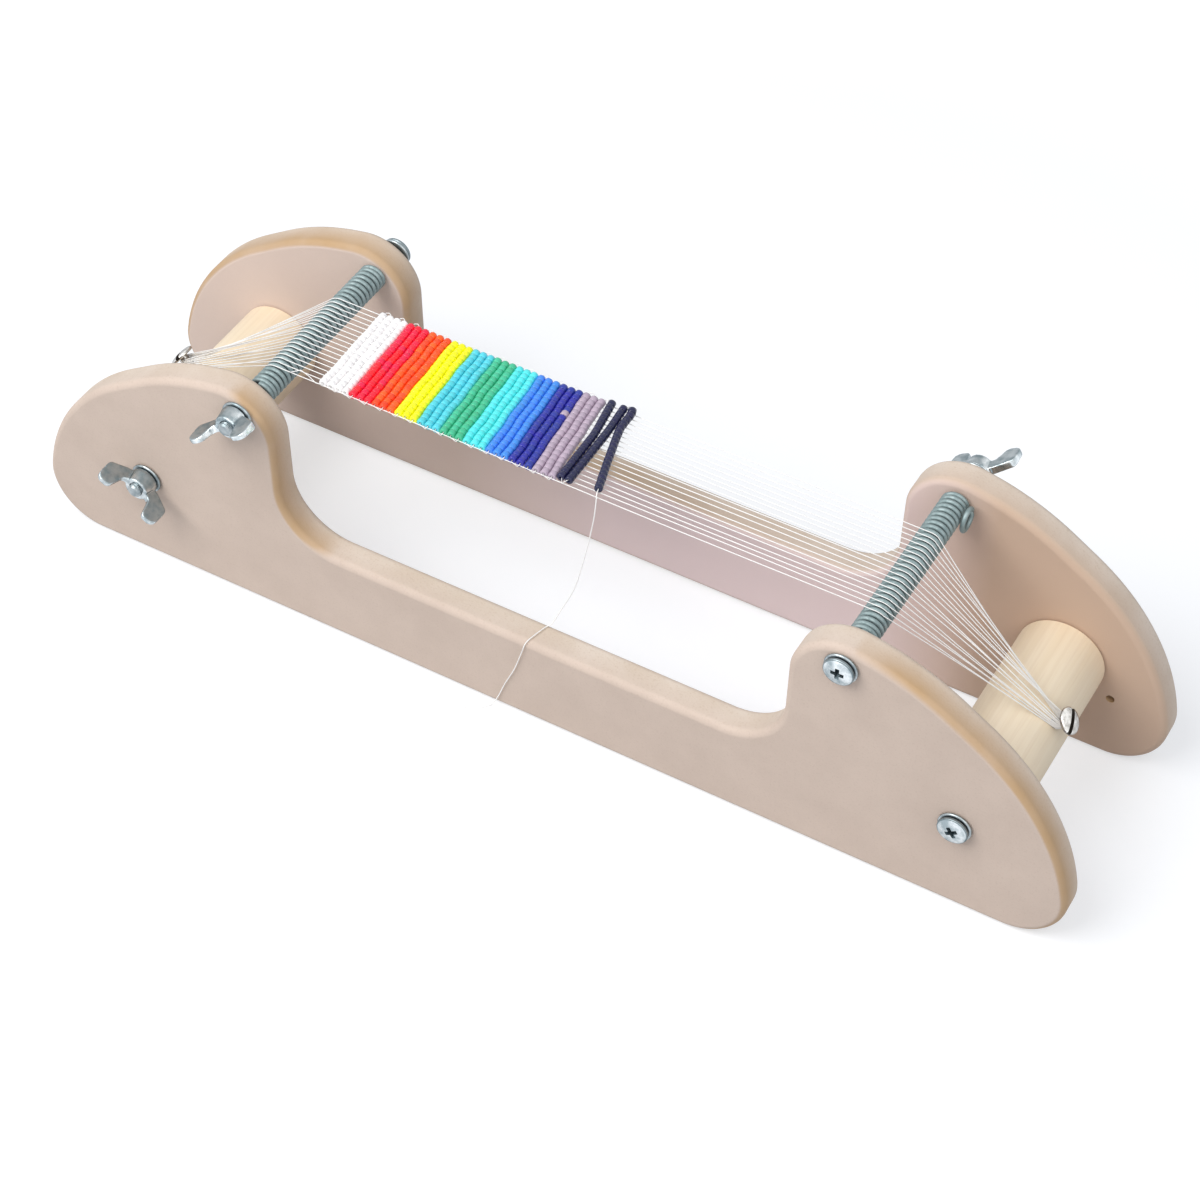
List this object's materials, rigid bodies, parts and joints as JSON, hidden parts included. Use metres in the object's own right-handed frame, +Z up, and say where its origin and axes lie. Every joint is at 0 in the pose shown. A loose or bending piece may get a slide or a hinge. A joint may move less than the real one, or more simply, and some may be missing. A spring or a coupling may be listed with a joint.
{
  "type": "bead loom",
  "caption": "Wooden bead loom with two lobed side panels, springs that space the warp, thread rollers held by wing nuts, and a striped band of loomed beads.",
  "frame": {"origin": "on the table under the middle of the loom", "axes": "+X along the loom to its right end, +Y from the front panel to the rear panel, +Z up"},
  "size_m": [0.3034, 0.0948, 0.0739],
  "materials": {
    "board": "sanded fibreboard, unpainted",
    "dowel": "sanded pale wood, unpainted",
    "zinc_plated_steel": "bright zinc plate",
    "spring_steel": "zinc-plated wire",
    "thread": "white nylon thread",
    "white_beads": "opaque glass seed beads",
    "red_beads": "opaque glass seed beads",
    "orange_beads": "opaque glass seed beads",
    "yellow_beads": "opaque glass seed beads",
    "sky_blue_beads": "opaque glass seed beads",
    "green_beads": "opaque glass seed beads",
    "turquoise_beads": "opaque glass seed beads",
    "blue_beads": "opaque glass seed beads",
    "purple_blue_beads": "opaque glass seed beads",
    "lilac_beads": "opaque glass seed beads",
    "dark_beads": "opaque glass seed beads"
  },
  "bodies": {
    "frame": {"front_side_panel": "board", "rear_side_panel": "board", "left_spring": "spring_steel", "right_spring": "spring_steel", "left_spring_bolt": "zinc_plated_steel", "left_spring_head_washer": "zinc_plated_steel", "right_spring_bolt": "zinc_plated_steel", "right_spring_head_washer": "zinc_plated_steel", "left_roller_bolt": "zinc_plated_steel", "left_roller_head_washer": "zinc_plated_steel", "right_roller_bolt": "zinc_plated_steel", "right_roller_head_washer": "zinc_plated_steel", "warp_thread": "thread", "white_bead_rows": "white_beads", "red_bead_rows": "red_beads", "orange_bead_rows": "orange_beads", "yellow_bead_rows": "yellow_beads", "sky_blue_bead_rows": "sky_blue_beads", "green_bead_rows": "green_beads", "turquoise_bead_rows": "turquoise_beads", "blue_bead_rows": "blue_beads", "purple_blue_bead_rows": "purple_blue_beads", "lilac_bead_rows": "lilac_beads", "first_dark_bead_row": "dark_beads", "second_dark_bead_row": "dark_beads", "loose_bead_strand": "dark_beads", "working_thread": "thread"},
    "left_roller": {"left_roller": "dowel", "left_warp_peg": "zinc_plated_steel"},
    "right_roller": {"right_roller": "dowel", "right_warp_peg": "zinc_plated_steel"},
    "left_spring_nut_washer": {"left_spring_nut_washer": "zinc_plated_steel"},
    "left_spring_wing_nut": {"left_spring_wing_nut": "zinc_plated_steel"},
    "right_spring_nut_washer": {"right_spring_nut_washer": "zinc_plated_steel"},
    "right_spring_wing_nut": {"right_spring_wing_nut": "zinc_plated_steel"},
    "left_roller_nut_washer": {"left_roller_nut_washer": "zinc_plated_steel"},
    "left_roller_wing_nut": {"left_roller_wing_nut": "zinc_plated_steel"},
    "right_roller_nut_washer": {"right_roller_nut_washer": "zinc_plated_steel"},
    "right_roller_wing_nut": {"right_roller_wing_nut": "zinc_plated_steel"}
  },
  "joints": [
    {"name": "left_roller_turn", "type": "hinge", "parent": "frame", "child": "left_roller", "pos_m": [-0.1168, 0, 0.0297], "axis": [0, -1, 0], "continuous": true, "deforming": ["warp_thread"]},
    {"name": "right_roller_turn", "type": "hinge", "parent": "frame", "child": "right_roller", "pos_m": [0.1214, 0, 0.0297], "axis": [0, 1, 0], "continuous": true, "deforming": ["warp_thread"]},
    {"name": "left_spring_nut_washer_slide", "type": "slide", "parent": "frame", "child": "left_spring_nut_washer", "axis": [0, -1, 0], "range_m": [0, 0.0021]},
    {"name": "left_spring_wing_nut_turn", "type": "hinge", "parent": "left_spring_nut_washer", "child": "left_spring_wing_nut", "pos_m": [-0.0834, -0.0379, 0.068], "axis": [0, -1, 0], "range_deg": [0, 1080]},
    {"name": "right_spring_nut_washer_slide", "type": "slide", "parent": "frame", "child": "right_spring_nut_washer", "axis": [0, 1, 0], "range_m": [0, 0.0021]},
    {"name": "right_spring_wing_nut_turn", "type": "hinge", "parent": "right_spring_nut_washer", "child": "right_spring_wing_nut", "pos_m": [0.088, 0.0379, 0.068], "axis": [0, 1, 0], "range_deg": [0, 1080]},
    {"name": "left_roller_nut_washer_slide", "type": "slide", "parent": "frame", "child": "left_roller_nut_washer", "axis": [0, -1, 0], "range_m": [0, 0.0021]},
    {"name": "left_roller_wing_nut_turn", "type": "hinge", "parent": "left_roller_nut_washer", "child": "left_roller_wing_nut", "pos_m": [-0.1168, -0.0379, 0.0297], "axis": [0, -1, 0], "range_deg": [0, 1080]},
    {"name": "right_roller_nut_washer_slide", "type": "slide", "parent": "frame", "child": "right_roller_nut_washer", "axis": [0, 1, 0], "range_m": [0, 0.0021]},
    {"name": "right_roller_wing_nut_turn", "type": "hinge", "parent": "right_roller_nut_washer", "child": "right_roller_wing_nut", "pos_m": [0.1214, 0.0379, 0.0297], "axis": [0, 1, 0], "range_deg": [0, 1080]}
  ],
  "couplings": [
    {"joint": "left_spring_wing_nut_turn", "follows": "left_spring_nut_washer_slide", "rad_per_m": 8976},
    {"joint": "right_spring_wing_nut_turn", "follows": "right_spring_nut_washer_slide", "rad_per_m": 8976},
    {"joint": "left_roller_wing_nut_turn", "follows": "left_roller_nut_washer_slide", "rad_per_m": 8976},
    {"joint": "right_roller_wing_nut_turn", "follows": "right_roller_nut_washer_slide", "rad_per_m": 8976}
  ]
}
